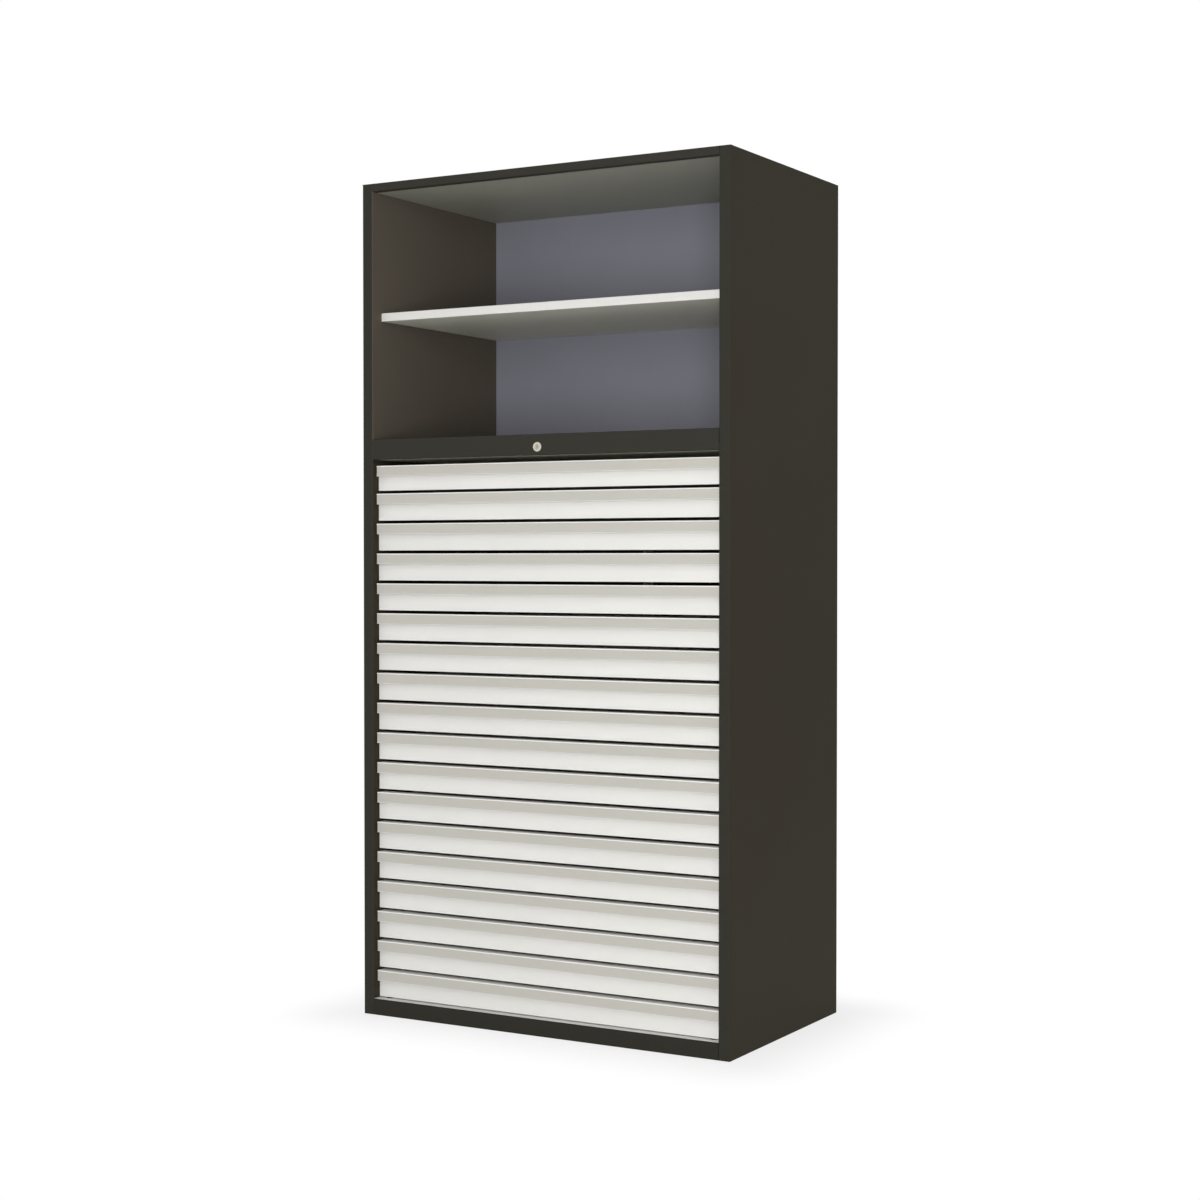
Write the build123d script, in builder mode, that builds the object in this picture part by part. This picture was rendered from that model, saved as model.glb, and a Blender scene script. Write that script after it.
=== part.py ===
"""Combination storage cabinet: an open compartment with a shelf over a bank of locking drawers.

Millimetres. The origin is the middle of the footprint on the floor, +Z is up and the front faces -Y.
"""

import math
import os

from build123d import *

os.makedirs("parts", exist_ok=True)

# Housing
width = 1037.0
depth = 609.0
height = 2100.0
sheet = 1.2
stile_width = 29.5
top_rail_height = 20.0
fold_return = 20.0  # stiles and rails fold back this far behind the front plane
rear_flange = 20.0  # flange of each side panel that the back panel lies on
bend_radius = 1.5  # inside the folds that show on the housing and the shelf
seat_gap = 0.1  # pieces in the holes that hold them still

# Plinth and floor fixings
plinth_height = 40.4
floor_flange = 50.0  # fold of the plinth that stands on the floor
floor_ledge = 15.0  # fold of the plinth that carries the bay floor
anchor_inset_x = 29.0  # floor fixing, in from the side lining
anchor_inset_y = 34.5  # floor fixing, in from the front plane and the rear face
anchor_hole = 11.0
anchor_access = 24.0  # hole in the bay floor above each fixing

# Drawer bay and lock rail
drawer_count = 18
drawer_pitch = 75.6
floor_gap = 2.6  # bay floor to the lowest drawer front
ceiling_gap = 2.3  # top of the highest drawer's pitch to the bay ceiling
lock_rail_height = 50.4
deck_flange = 20.0  # stiffening folds of the middle deck and of the bay ceiling

# Open compartment
back_cavity = 33.2  # rear face of the cabinet to the face of the back lining
shelf_thickness = 20.9
shelf_setback = 38.6  # front plane to the shelf's front edge
shelf_gap = 1.0  # shelf to the side linings and the back lining
peg_width = 14.0
peg_thickness = 4.0
peg_head_rim = 4.0  # head past the tongue, all round
peg_head_thickness = 3.0
peg_reach = 9.0  # tongue inside the shelf
peg_inset = 60.0  # peg to the shelf's front or rear edge

# Drawer front with its pull
front_side_gap = 2.5  # drawer front to the stile
front_gap = 7.9  # between two drawer fronts
top_front_drop = 5.2  # the highest front is lower by this
front_recess = 23.4  # front plane to the drawer face
front_sheet = 1.2
pull_height = 26.4
pull_reach = 9.5  # drawer face to the face of the label strip
pocket_step = 1.5  # pocket floor above the lower edge of the pull
label_thickness = 1.0
label_end_gap = 1.0

# Drawer tray
tray_recess = 46.0  # front plane to the tray
tray_rear_gap = 60.5  # tray to the rear face of the cabinet
tray_sheet = 1.0
tray_lift = 3.0  # tray above the lower edge of its front
tray_height = 53.0
tray_rim = 8.0

# Telescopic slides
slide_space = 22.0  # tray to the side lining
slide_sheet = 1.5
slide_height = 36.0
slide_lift = 10.0  # slide above the lower edge of the drawer front
slide_web = 2.0
slide_play = 0.3
channel_depth = 10.0
slide_front_gap = 3.0  # slide's ends inside the tray's ends
slide_rear_gap = 4.0

# Lock in the rail
lock_height = 19.5  # lock axis above the lower edge of the rail
lock_body_diameter = 19.0
lock_body_length = 26.0
lock_wall = 2.5  # lock body round the plug
bezel_overlap = 2.0  # bezel past the lock body
bezel_proud = 2.0
bezel_chamfer = 0.6
nut_wall = 2.5  # nut's flats past the lock body
nut_thickness = 4.0
plug_recess = 0.4  # plug face behind the bezel face
collar_step = 1.5  # plug's collar past the plug
collar_length = 9.0
collar_play = 0.3
running_gap = 0.05
key_slot_width = 1.8
key_slot_length = 8.5
key_slot_depth = 6.0

# Spindle and crank
bulkhead_recess = 54.5  # rear face of the cabinet to the bay ceiling's rear fold
spindle_diameter = 8.0
spindle_grip = 6.0  # spindle inside the plug and inside the crank
crank_margin = 6.0  # lever past the middle of its bore and of its pin
crank_thickness = 8.0
crank_gap = 2.0
crank_throw = 8.5
crank_rest_angle = 45.0  # crank pin below the level, and above it when locked
pin_diameter = 6.0
pin_play = 0.4
pin_overrun = 2.5  # pin past the rear of the lock bar

# Lock bar, its tabs and the drawer catches
bar_width = 30.0
bar_thickness = 2.5
bar_top_margin = 14.0
bar_foot_gap = 1.0
tab_setback = 18.0  # tray to the tabs
tab_thickness = 2.0
tab_height = 10.0
tab_reach = 20.0  # tab past the side of the bar
tab_weld = 10.0  # tab over the face of the bar
tab_drop = 4.0  # unlocked tab below the catch's lip
catch_sheet = 2.0
catch_width = 12.0
catch_height = 52.0  # top of the catch above the lower edge of the drawer front
catch_plate_height = 22.0
lip_height = 12.0
lip_play = 1.5
guide_every = 8  # drawers from one guide of the lock bar to the next
guide_width = 50.0
guide_height = 16.0
guide_lift = 4.0
guide_lip = 2.7
guide_hook = 5.0

# Planes and heights worked out from the sizes above
half_width = width / 2
front_y = -depth / 2
back_y = depth / 2
open_half = half_width - stile_width
outer_bend = bend_radius + sheet
lining_front = front_y + fold_return
lining_back = back_y - back_cavity
under_top = height - sheet
ceiling = height - top_rail_height
first_front = plinth_height + floor_gap
bay_top = first_front + drawer_count * drawer_pitch + ceiling_gap
deck_top = bay_top + lock_rail_height
front_half = open_half - front_side_gap
front_height = drawer_pitch - front_gap
tray_half = open_half - slide_space
tray_front = front_y + tray_recess
tray_back = back_y - tray_rear_gap
slide_front = tray_front + slide_front_gap
slide_length = tray_back - slide_rear_gap - slide_front
lock_z = bay_top + lock_height
bezel_radius = lock_body_diameter / 2 + bezel_overlap
plug_radius = lock_body_diameter / 2 - lock_wall
collar_radius = plug_radius + collar_step
bulkhead_y = back_y - bulkhead_recess
tab_front = tray_back + tab_setback
bar_y = tab_front + tab_thickness
pin_across = crank_throw * math.cos(math.radians(crank_rest_angle))
pin_drop = crank_throw * math.sin(math.radians(crank_rest_angle))
bar_x = -(crank_throw + pin_across) / 2
bar_side = bar_x + bar_width / 2
catch_x = bar_side + tab_reach / 2
drawer_levels = [first_front + drawer_pitch * (drawer_count - 1 - row) for row in range(drawer_count)]


def folded_sheet(*corners, thickness, side, bend=0.0):
    """Section of a sheet along the line through these corners, thickened to one side of it.

    The line takes each corner with the radius bend, or sharply where that is nought.
    """
    with BuildSketch() as section:
        with BuildLine():
            FilletPolyline(*corners, radius=bend)
            offset(amount=thickness, side=side, kind=Kind.INTERSECTION)
        make_face()
    return section.sketch


def raised(piece, z):
    """Copy of a piece that was drawn at floor level, lifted to its own height."""
    return piece.moved(Location((0, 0, z)))


def write_group(name, pieces):
    """Write several separate solids as one node."""
    export_step(Compound(children=pieces, label=name), f"parts/{name}.step")


# Outer side panels: skin, front stile with its return, rear flange and foot, from one folded sheet
with BuildPart() as side_panel_right:
    with BuildSketch():
        add(
            folded_sheet(
                (open_half, lining_front),
                (open_half, front_y),
                (half_width, front_y),
                (half_width, back_y - sheet),
                (half_width - rear_flange, back_y - sheet),
                thickness=sheet,
                side=Side.LEFT,
                bend=outer_bend,
            )
        )
    extrude(amount=under_top)
    with BuildSketch():
        with Locations((open_half + stile_width / 2, -sheet / 2)):
            RectangleRounded(stile_width, depth - sheet, outer_bend)
    extrude(amount=sheet)
side_panel_right.part.label = "side_panel_right"
export_step(side_panel_right.part, "parts/side_panel_right.step")

with BuildPart() as side_panel_left:
    mirror(side_panel_right.part, about=Plane.YZ)
side_panel_left.part.label = "side_panel_left"
export_step(side_panel_left.part, "parts/side_panel_left.step")

# Shelf height and the places of its four pegs
shelf_z = (deck_top + ceiling) / 2
shelf_front = front_y + shelf_setback
shelf_back = lining_back - shelf_gap
peg_places = [(shelf_front + peg_inset, shelf_z), (shelf_back - peg_inset, shelf_z)]
peg_slot = (peg_width + 2 * seat_gap, peg_thickness + 2 * seat_gap)

# Side linings: flush with the stiles' inner edges, on the panels' feet, folded to the skin and the rear flange
with BuildPart() as side_lining_right:
    with BuildSketch(Plane.XY.offset(sheet)):
        add(
            folded_sheet(
                (half_width - sheet, lining_front),
                (open_half, lining_front),
                (open_half, back_y - 2 * sheet),
                (half_width - outer_bend, back_y - 2 * sheet),
                thickness=sheet,
                side=Side.RIGHT,
            )
        )
    extrude(amount=under_top - sheet)
    with BuildSketch(Plane.YZ.offset(open_half)):
        with Locations(*peg_places):
            Rectangle(*peg_slot)
    extrude(amount=sheet, mode=Mode.SUBTRACT)
side_lining_right.part.label = "side_lining_right"
export_step(side_lining_right.part, "parts/side_lining_right.step")

with BuildPart() as side_lining_left:
    mirror(side_lining_right.part, about=Plane.YZ)
side_lining_left.part.label = "side_lining_left"
export_step(side_lining_left.part, "parts/side_lining_left.step")

# Top panel, with the top rail folded down between the stiles
with BuildPart() as top_panel:
    with BuildSketch(Plane.XY.offset(under_top)):
        Rectangle(width, depth)
    extrude(amount=sheet)
    with BuildSketch(Plane.YZ):
        add(
            folded_sheet(
                (lining_front, ceiling),
                (front_y, ceiling),
                (front_y, under_top),
                thickness=sheet,
                side=Side.RIGHT,
                bend=outer_bend,
            )
        )
    extrude(amount=open_half, both=True)
top_panel.part.label = "top_panel"
export_step(top_panel.part, "parts/top_panel.step")

# Ceiling lining of the open compartment: a shallow pan under the top panel
with BuildPart() as ceiling_lining:
    with BuildSketch(Plane.XY.offset(ceiling)):
        with Locations((0, (lining_front + lining_back) / 2)):
            Rectangle(2 * open_half, lining_back - lining_front)
    extrude(amount=under_top - ceiling)
    offset(amount=-sheet, openings=ceiling_lining.faces().sort_by(Axis.Z)[-1])
ceiling_lining.part.label = "ceiling_lining"
export_step(ceiling_lining.part, "parts/ceiling_lining.step")

# Plinth frame: four walls, a flange on the floor, a ledge under the bay floor and a flush front lip
frame_length = depth - sheet
frame_middle = -sheet / 2
anchor_spacing_x = 2 * (open_half - anchor_inset_x)
anchor_spacing_y = depth - 2 * anchor_inset_y
with BuildPart() as plinth_frame:
    with BuildSketch():
        with Locations((0, frame_middle)):
            Rectangle(2 * open_half, frame_length)
    extrude(amount=plinth_height - sheet)
    frame_ends = plinth_frame.faces().sort_by(Axis.Z)
    offset(amount=-sheet, openings=[frame_ends[0], frame_ends[-1]])
    with BuildSketch():
        with Locations((0, frame_middle)):
            Rectangle(2 * open_half, frame_length)
            Rectangle(2 * (open_half - floor_flange), frame_length - 2 * floor_flange, mode=Mode.SUBTRACT)
        with GridLocations(anchor_spacing_x, anchor_spacing_y, 2, 2):
            Circle(anchor_hole / 2, mode=Mode.SUBTRACT)
    extrude(amount=sheet)
    with BuildSketch(Plane.XY.offset(plinth_height - 2 * sheet)):
        with Locations((0, frame_middle)):
            Rectangle(2 * open_half, frame_length)
            Rectangle(2 * (open_half - floor_ledge), frame_length - 2 * floor_ledge, mode=Mode.SUBTRACT)
    extrude(amount=sheet)
    with BuildSketch(Plane.XY.offset(plinth_height - sheet)):
        with Locations((0, front_y + sheet / 2)):
            Rectangle(2 * open_half, sheet)
    extrude(amount=sheet)
plinth_frame.part.label = "plinth_frame"
export_step(plinth_frame.part, "parts/plinth_frame.step")

# Floor sheet of the drawer bay, with a hole over each floor fixing
with BuildPart() as bay_floor:
    with BuildSketch(Plane.XY.offset(plinth_height - sheet)):
        Rectangle(2 * open_half, depth - 2 * sheet)
        with GridLocations(anchor_spacing_x, anchor_spacing_y, 2, 2):
            Circle(anchor_access / 2, mode=Mode.SUBTRACT)
    extrude(amount=sheet)
bay_floor.part.label = "bay_floor"
export_step(bay_floor.part, "parts/bay_floor.step")

# Middle deck, with the lock rail folded down at the front and stiffening folds at the sides
fold_length = bulkhead_y - sheet - lining_front
fold_middle = lining_front + fold_length / 2
with BuildPart() as lock_rail_deck:
    with BuildSketch(Plane.YZ):
        add(
            folded_sheet(
                (lining_front, bay_top),
                (front_y, bay_top),
                (front_y, deck_top),
                (lining_back, deck_top),
                (lining_back, deck_top - deck_flange),
                thickness=sheet,
                side=Side.RIGHT,
                bend=outer_bend,
            )
        )
    extrude(amount=open_half, both=True)
    with BuildSketch(Plane.YZ.offset(open_half - sheet)):
        with Locations((fold_middle, deck_top - deck_flange / 2)):
            Rectangle(fold_length, deck_flange)
    deck_side_fold = extrude(amount=sheet)
    mirror(deck_side_fold, about=Plane.YZ)
    with BuildSketch(Plane.XZ.offset(-front_y)):
        with Locations((0, lock_z)):
            Circle(lock_body_diameter / 2 + seat_gap)
    extrude(amount=-sheet, mode=Mode.SUBTRACT)
lock_rail_deck.part.label = "lock_rail_deck"
export_step(lock_rail_deck.part, "parts/lock_rail_deck.step")

# Ceiling of the drawer bay: closes the deck from below, and its rear fold is the spindle's bearing
with BuildPart() as bay_ceiling:
    with BuildSketch(Plane.YZ):
        add(
            folded_sheet(
                (lining_front, bay_top),
                (bulkhead_y, bay_top),
                (bulkhead_y, deck_top - sheet),
                thickness=sheet,
                side=Side.LEFT,
            )
        )
    extrude(amount=open_half, both=True)
    with BuildSketch(Plane.YZ.offset(open_half - sheet)):
        with Locations((fold_middle, bay_top + deck_flange / 2)):
            Rectangle(fold_length, deck_flange)
    ceiling_side_fold = extrude(amount=sheet)
    mirror(ceiling_side_fold, about=Plane.YZ)
    with BuildSketch(Plane.XZ.offset(-bulkhead_y)):
        with Locations((0, lock_z)):
            Circle(spindle_diameter / 2 + running_gap)
    extrude(amount=sheet, mode=Mode.SUBTRACT)
bay_ceiling.part.label = "bay_ceiling"
export_step(bay_ceiling.part, "parts/bay_ceiling.step")

# Outer back panel
with BuildPart() as back_panel:
    with BuildSketch(Plane.XZ.offset(-back_y)):
        with Locations((0, under_top / 2)):
            Rectangle(width, under_top)
    extrude(amount=sheet)
back_panel.part.label = "back_panel"
export_step(back_panel.part, "parts/back_panel.step")

# Back lining of the open compartment: a pan that stands off the back panel
lining_foot = deck_top - deck_flange
with BuildPart() as back_lining:
    with BuildSketch(Plane.XZ.offset(-lining_back)):
        with Locations((0, (lining_foot + under_top) / 2)):
            Rectangle(2 * open_half, under_top - lining_foot)
    extrude(amount=-(back_cavity - sheet))
    offset(amount=-sheet, openings=back_lining.faces().sort_by(Axis.Y)[-1])
back_lining.part.label = "back_lining"
export_step(back_lining.part, "parts/back_lining.step")

# Shelf: a pan with its rim down, and the plate that closes it from below
shelf_half = open_half - shelf_gap
shelf_length = shelf_back - shelf_front
shelf_middle = (shelf_front + shelf_back) / 2
shelf_foot = shelf_z - shelf_thickness / 2
with BuildPart() as shelf:
    with BuildSketch(Plane.XY.offset(shelf_foot)):
        with Locations((0, shelf_middle)):
            Rectangle(2 * shelf_half, shelf_length)
    extrude(amount=shelf_thickness)
    fillet(shelf.faces().sort_by(Axis.Z)[-1].edges(), radius=outer_bend)
    offset(amount=-sheet, openings=shelf.faces().sort_by(Axis.Z)[0])
    with BuildSketch(Plane.YZ):
        with Locations(*peg_places):
            Rectangle(*peg_slot)
    extrude(amount=shelf_half, both=True, mode=Mode.SUBTRACT)
shelf.part.label = "shelf"
export_step(shelf.part, "parts/shelf.step")

with BuildPart() as shelf_underside:
    with BuildSketch(Plane.XY.offset(shelf_foot)):
        with Locations((0, shelf_middle)):
            Rectangle(2 * (shelf_half - sheet), shelf_length - 2 * sheet)
    extrude(amount=sheet)
shelf_underside.part.label = "shelf_underside"
export_step(shelf_underside.part, "parts/shelf_underside.step")

# Shelf pegs: a head behind the side lining, and a flat tongue through it into the shelf's rim
with BuildPart() as shelf_pegs:
    with BuildSketch(Plane.YZ.offset(open_half + sheet)):
        with Locations(*peg_places):
            Rectangle(peg_width + 2 * peg_head_rim, peg_thickness + 2 * peg_head_rim)
    extrude(amount=peg_head_thickness)
    with BuildSketch(Plane.YZ.offset(open_half + sheet)):
        with Locations(*peg_places):
            Rectangle(peg_width, peg_thickness)
    extrude(amount=-(sheet + shelf_gap + sheet + peg_reach))
    mirror(about=Plane.YZ)
shelf_pegs.part.label = "shelf_pegs"
export_step(shelf_pegs.part, "parts/shelf_pegs.step")


# Drawer front: bottom fold, face, finger pocket and pull, from one folded sheet, with closed ends
def drawer_front(front_top):
    """Front of the given height, its lower edge at floor level."""
    face_y = front_y + front_recess
    pull_back_y = face_y - pull_reach + label_thickness + front_sheet
    pull_foot = front_top - pull_height
    pocket_floor = pull_foot + pocket_step
    with BuildPart() as front:
        with BuildSketch(Plane.YZ):
            add(
                folded_sheet(
                    (tray_front, 0),
                    (face_y, 0),
                    (face_y, pocket_floor),
                    (tray_front - front_sheet, pocket_floor),
                    (tray_front - front_sheet, front_top - front_sheet),
                    (pull_back_y, front_top - front_sheet),
                    (pull_back_y, pull_foot),
                    thickness=front_sheet,
                    side=Side.RIGHT,
                )
            )
        extrude(amount=front_half, both=True)
        with BuildSketch(Plane.YZ.offset(front_half - front_sheet)):
            with Locations(((face_y + tray_front) / 2, pocket_floor / 2)):
                Rectangle(tray_front - face_y, pocket_floor)
        end_fold = extrude(amount=front_sheet)
        mirror(end_fold, about=Plane.YZ)
    return front.part


# Label strip on the face of the pull
def label_strip(front_top):
    """Strip over the whole height of the pull."""
    label_y = front_y + front_recess - pull_reach
    with BuildPart() as label:
        with BuildSketch(Plane.XZ.offset(-label_y)):
            with Locations((0, front_top - pull_height / 2)):
                Rectangle(2 * (front_half - label_end_gap), pull_height)
        extrude(amount=-label_thickness)
    return label.part


# Drawer tray: an open box with a rim folded outwards along each side
tray_length = tray_back - tray_front
tray_middle = (tray_front + tray_back) / 2
with BuildPart() as drawer_tray:
    with BuildSketch(Plane.XY.offset(tray_lift)):
        with Locations((0, tray_middle)):
            Rectangle(2 * tray_half, tray_length)
    extrude(amount=tray_height)
    offset(amount=-tray_sheet, openings=drawer_tray.faces().sort_by(Axis.Z)[-1])
    with BuildSketch(Plane.XY.offset(tray_lift + tray_height - tray_sheet)):
        with Locations((tray_half + tray_rim / 2, tray_middle)):
            Rectangle(tray_rim, tray_length)
    side_rim = extrude(amount=tray_sheet)
    mirror(side_rim, about=Plane.YZ)

# Slides: a channel on the side lining, a channel on the tray, and a beam that runs in both
slide_top = slide_lift + slide_height
with BuildPart() as cabinet_member:
    with BuildSketch(Plane.XZ.offset(-slide_front)):
        add(
            folded_sheet(
                (open_half - channel_depth, slide_top),
                (open_half, slide_top),
                (open_half, slide_lift),
                (open_half - channel_depth, slide_lift),
                thickness=slide_sheet,
                side=Side.RIGHT,
            )
        )
    extrude(amount=-slide_length)

with BuildPart() as drawer_member:
    with BuildSketch(Plane.XZ.offset(-slide_front)):
        add(
            folded_sheet(
                (tray_half + channel_depth, slide_lift),
                (tray_half, slide_lift),
                (tray_half, slide_top),
                (tray_half + channel_depth, slide_top),
                thickness=slide_sheet,
                side=Side.RIGHT,
            )
        )
    extrude(amount=-slide_length)

beam_width = slide_space - 2 * (slide_sheet + slide_play)
beam_height = slide_height - 2 * (slide_sheet + slide_play)
beam_flange = (beam_height - slide_sheet) / 2
with BuildPart() as slide_beam:
    with BuildSketch(Plane.XZ.offset(-slide_front)):
        with Locations((tray_half + slide_space / 2, slide_lift + slide_height / 2)):
            Rectangle(slide_web, beam_height)
            with Locations((0, beam_flange), (0, -beam_flange)):
                Rectangle(beam_width, slide_sheet)
    extrude(amount=-slide_length)

# Lock catch on the tray's rear wall: a plate, an arm over the lock bar's tab, and a lip behind the tab
lip_back = bar_y + lip_play + catch_sheet
lip_foot = catch_height - lip_height
with BuildPart() as lock_catch:
    with BuildSketch(Plane.YZ.offset(catch_x)):
        add(
            folded_sheet(
                (tray_back, catch_height - catch_plate_height),
                (tray_back, catch_height),
                (lip_back, catch_height),
                (lip_back, lip_foot),
                thickness=catch_sheet,
                side=Side.RIGHT,
            )
        )
    extrude(amount=catch_width / 2, both=True)

# The drawers, numbered from the top, and the slide beams that follow them
drawer_members = [drawer_member.part, mirror(drawer_member.part, about=Plane.YZ, mode=Mode.PRIVATE)]
beam_pair = [slide_beam.part, mirror(slide_beam.part, about=Plane.YZ, mode=Mode.PRIVATE)]
standard_front = [drawer_front(front_height), label_strip(front_height)]
top_front = [drawer_front(front_height - top_front_drop), label_strip(front_height - top_front_drop)]
for number, level in enumerate(drawer_levels, start=1):
    fronts = top_front if number == 1 else standard_front
    drawer_pieces = [drawer_tray.part, *fronts, *drawer_members, lock_catch.part]
    write_group(f"drawer_{number:02d}", [raised(piece, level) for piece in drawer_pieces])
    write_group(f"slide_pair_{number:02d}", [raised(piece, level) for piece in beam_pair])

# The slides' cabinet members, one node for each side
left_member = mirror(cabinet_member.part, about=Plane.YZ, mode=Mode.PRIVATE)
write_group("slide_runners_right", [raised(cabinet_member.part, level) for level in drawer_levels])
write_group("slide_runners_left", [raised(left_member, level) for level in drawer_levels])

# Lock housing: bezel on the rail and a body through it
lock_axis = Axis((0, 0, lock_z), (0, 1, 0))
bezel_y = front_y - bezel_proud
plug_bore = plug_radius + running_gap
with BuildPart() as lock_housing:
    with BuildSketch(Plane.YZ):
        with BuildLine():
            Polyline(
                (bezel_y, lock_z + plug_bore),
                (bezel_y, lock_z + bezel_radius - bezel_chamfer),
                (bezel_y + bezel_chamfer, lock_z + bezel_radius),
                (front_y, lock_z + bezel_radius),
                (front_y, lock_z + lock_body_diameter / 2),
                (front_y + lock_body_length, lock_z + lock_body_diameter / 2),
                (front_y + lock_body_length, lock_z + plug_bore),
                close=True,
            )
        make_face()
    revolve(axis=lock_axis)
lock_housing.part.label = "lock_housing"
export_step(lock_housing.part, "parts/lock_housing.step")

# Hexagon nut that holds the housing in the rail
with BuildPart() as lock_nut:
    with BuildSketch(Plane.XZ.offset(-(front_y + sheet))):
        with Locations((0, lock_z)):
            RegularPolygon(lock_body_diameter / 2 + nut_wall, 6, major_radius=False)
            Circle(lock_body_diameter / 2 + seat_gap, mode=Mode.SUBTRACT)
    extrude(amount=-nut_thickness)
lock_nut.part.label = "lock_nut"
export_step(lock_nut.part, "parts/lock_nut.step")

# Plug: turns in the housing, with a key slot in its face and a collar that takes the spindle
plug_face = bezel_y + plug_recess
collar_front = front_y + lock_body_length + collar_play
collar_back = collar_front + collar_length
with BuildPart() as lock_plug:
    with BuildSketch(Plane.YZ):
        with BuildLine():
            Polyline(
                (plug_face, lock_z),
                (plug_face, lock_z + plug_radius),
                (collar_front, lock_z + plug_radius),
                (collar_front, lock_z + collar_radius),
                (collar_back, lock_z + collar_radius),
                (collar_back, lock_z),
                close=True,
            )
        make_face()
    revolve(axis=lock_axis)
    with BuildSketch(Plane.XZ.offset(-plug_face)):
        with Locations((0, lock_z)):
            Rectangle(key_slot_width, key_slot_length)
    extrude(amount=-key_slot_depth, mode=Mode.SUBTRACT)
    with BuildSketch(Plane.XZ.offset(-collar_back)):
        with Locations((0, lock_z)):
            Circle(spindle_diameter / 2 + seat_gap)
    extrude(amount=spindle_grip, mode=Mode.SUBTRACT)
lock_plug.part.label = "lock_plug"
export_step(lock_plug.part, "parts/lock_plug.step")

# Spindle: from the plug's collar through the deck to the crank
crank_front = bulkhead_y + crank_gap
spindle_front = collar_back - spindle_grip
spindle_back = crank_front + spindle_grip
with BuildPart() as lock_spindle:
    with BuildSketch(Plane.XZ.offset(-spindle_front)):
        with Locations((0, lock_z)):
            Circle(spindle_diameter / 2)
    extrude(amount=-(spindle_back - spindle_front))
lock_spindle.part.label = "lock_spindle"
export_step(lock_spindle.part, "parts/lock_spindle.step")

# Crank: a lever on the spindle's end with a pin that works in the lock bar's slot
crank_back = crank_front + crank_thickness
pin_length = bar_y + bar_thickness + pin_overrun - crank_back
with BuildPart() as lock_crank:
    with BuildSketch(Plane.XZ.offset(-crank_front)):
        with Locations((-pin_across / 2, lock_z - pin_drop / 2)):
            Rectangle(crank_throw + 2 * crank_margin, 2 * crank_margin, rotation=crank_rest_angle)
    extrude(amount=-crank_thickness)
    with BuildSketch(Plane.XZ.offset(-crank_front)):
        with Locations((0, lock_z)):
            Circle(spindle_diameter / 2 + seat_gap)
    extrude(amount=-spindle_grip, mode=Mode.SUBTRACT)
    with BuildSketch(Plane.XZ.offset(-crank_back)):
        with Locations((-pin_across, lock_z - pin_drop)):
            Circle(pin_diameter / 2)
    extrude(amount=-pin_length)
lock_crank.part.label = "lock_crank"
export_step(lock_crank.part, "parts/lock_crank.step")

# Lock bar: a strip with a level slot for the crank pin, and one tab for each drawer
slot_z = lock_z - pin_drop
slot_height = pin_diameter + 2 * pin_play
slot_length = crank_throw - pin_across + slot_height
bar_foot = first_front + bar_foot_gap
bar_head = slot_z + bar_top_margin
with BuildPart() as bar_strip:
    with BuildSketch(Plane.XZ.offset(-bar_y)):
        with Locations((bar_x, (bar_foot + bar_head) / 2)):
            Rectangle(bar_width, bar_head - bar_foot)
        with Locations((bar_x, slot_z)):
            SlotOverall(slot_length, slot_height, mode=Mode.SUBTRACT)
    extrude(amount=-bar_thickness)

tab_width = tab_weld + tab_reach
tab_middle = lip_foot - tab_drop - tab_height / 2
with BuildPart() as bar_tab:
    with BuildSketch(Plane.XZ.offset(-bar_y)):
        with Locations((bar_side - tab_weld + tab_width / 2, tab_middle)):
            Rectangle(tab_width, tab_height)
    extrude(amount=tab_thickness)
write_group("lock_bar", [bar_strip.part, *[raised(bar_tab.part, level) for level in drawer_levels]])

# Guides: blocks on the back panel that hold the lock bar by its edges
guide_front = bar_y - slide_play - guide_lip
guide_back = back_y - sheet
mouth_depth = guide_lip + slide_play
with BuildPart() as bar_guide:
    with BuildSketch(Plane.XY.offset(guide_lift)):
        with Locations((bar_x, (guide_front + guide_back) / 2)):
            Rectangle(guide_width, guide_back - guide_front)
        with Locations((bar_x, bar_y + bar_thickness / 2)):
            Rectangle(bar_width + 2 * slide_play, bar_thickness + 2 * slide_play, mode=Mode.SUBTRACT)
        with Locations((bar_x, guide_front + mouth_depth / 2)):
            Rectangle(bar_width - 2 * guide_hook, mouth_depth, mode=Mode.SUBTRACT)
    extrude(amount=guide_height)
guide_levels = drawer_levels[::-1][::guide_every]
write_group("lock_bar_guides", [raised(bar_guide.part, level) for level in guide_levels])
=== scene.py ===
# %% [markdown]
# # Combination storage cabinet
#
# A tall steel cabinet: an open compartment with one shelf, a rail with a lock under it, and eighteen
# shallow drawers. The metalwork comes in as a finished model, so this lesson does what a paint shop and a
# photographer do: it gives every sheet its coat, adds the label strips and the small fasteners, and sets
# up a plain studio.

# %% Load the metalwork
import math

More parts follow.
